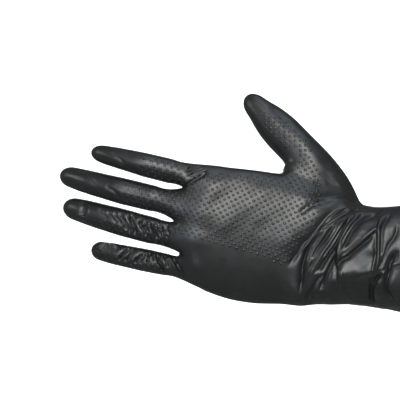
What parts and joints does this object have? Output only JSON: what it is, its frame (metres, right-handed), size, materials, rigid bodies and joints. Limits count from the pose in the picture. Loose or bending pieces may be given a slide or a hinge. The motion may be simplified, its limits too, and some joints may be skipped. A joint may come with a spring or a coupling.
{
  "type": "nitrile exam glove",
  "caption": "Black nitrile exam glove for a left hand, in its worn form: hollow fingers and thumb, a wrist gathered on the back and a cuff with a rolled edge.",
  "frame": {"origin": "centre of the cuff's mouth, in the plane of the rolled edge", "axes": "+X out of the mouth, the way the hand leaves, so the fingers point to -X; +Z to the thumb's side; -Y out of the back of the hand and +Y out of the palm"},
  "size_m": [0.2433, 0.0621, 0.1519],
  "materials": {
    "glove": "satin black film"
  },
  "bodies": {
    "root": {"glove": "glove"}
  },
  "joints": []
}
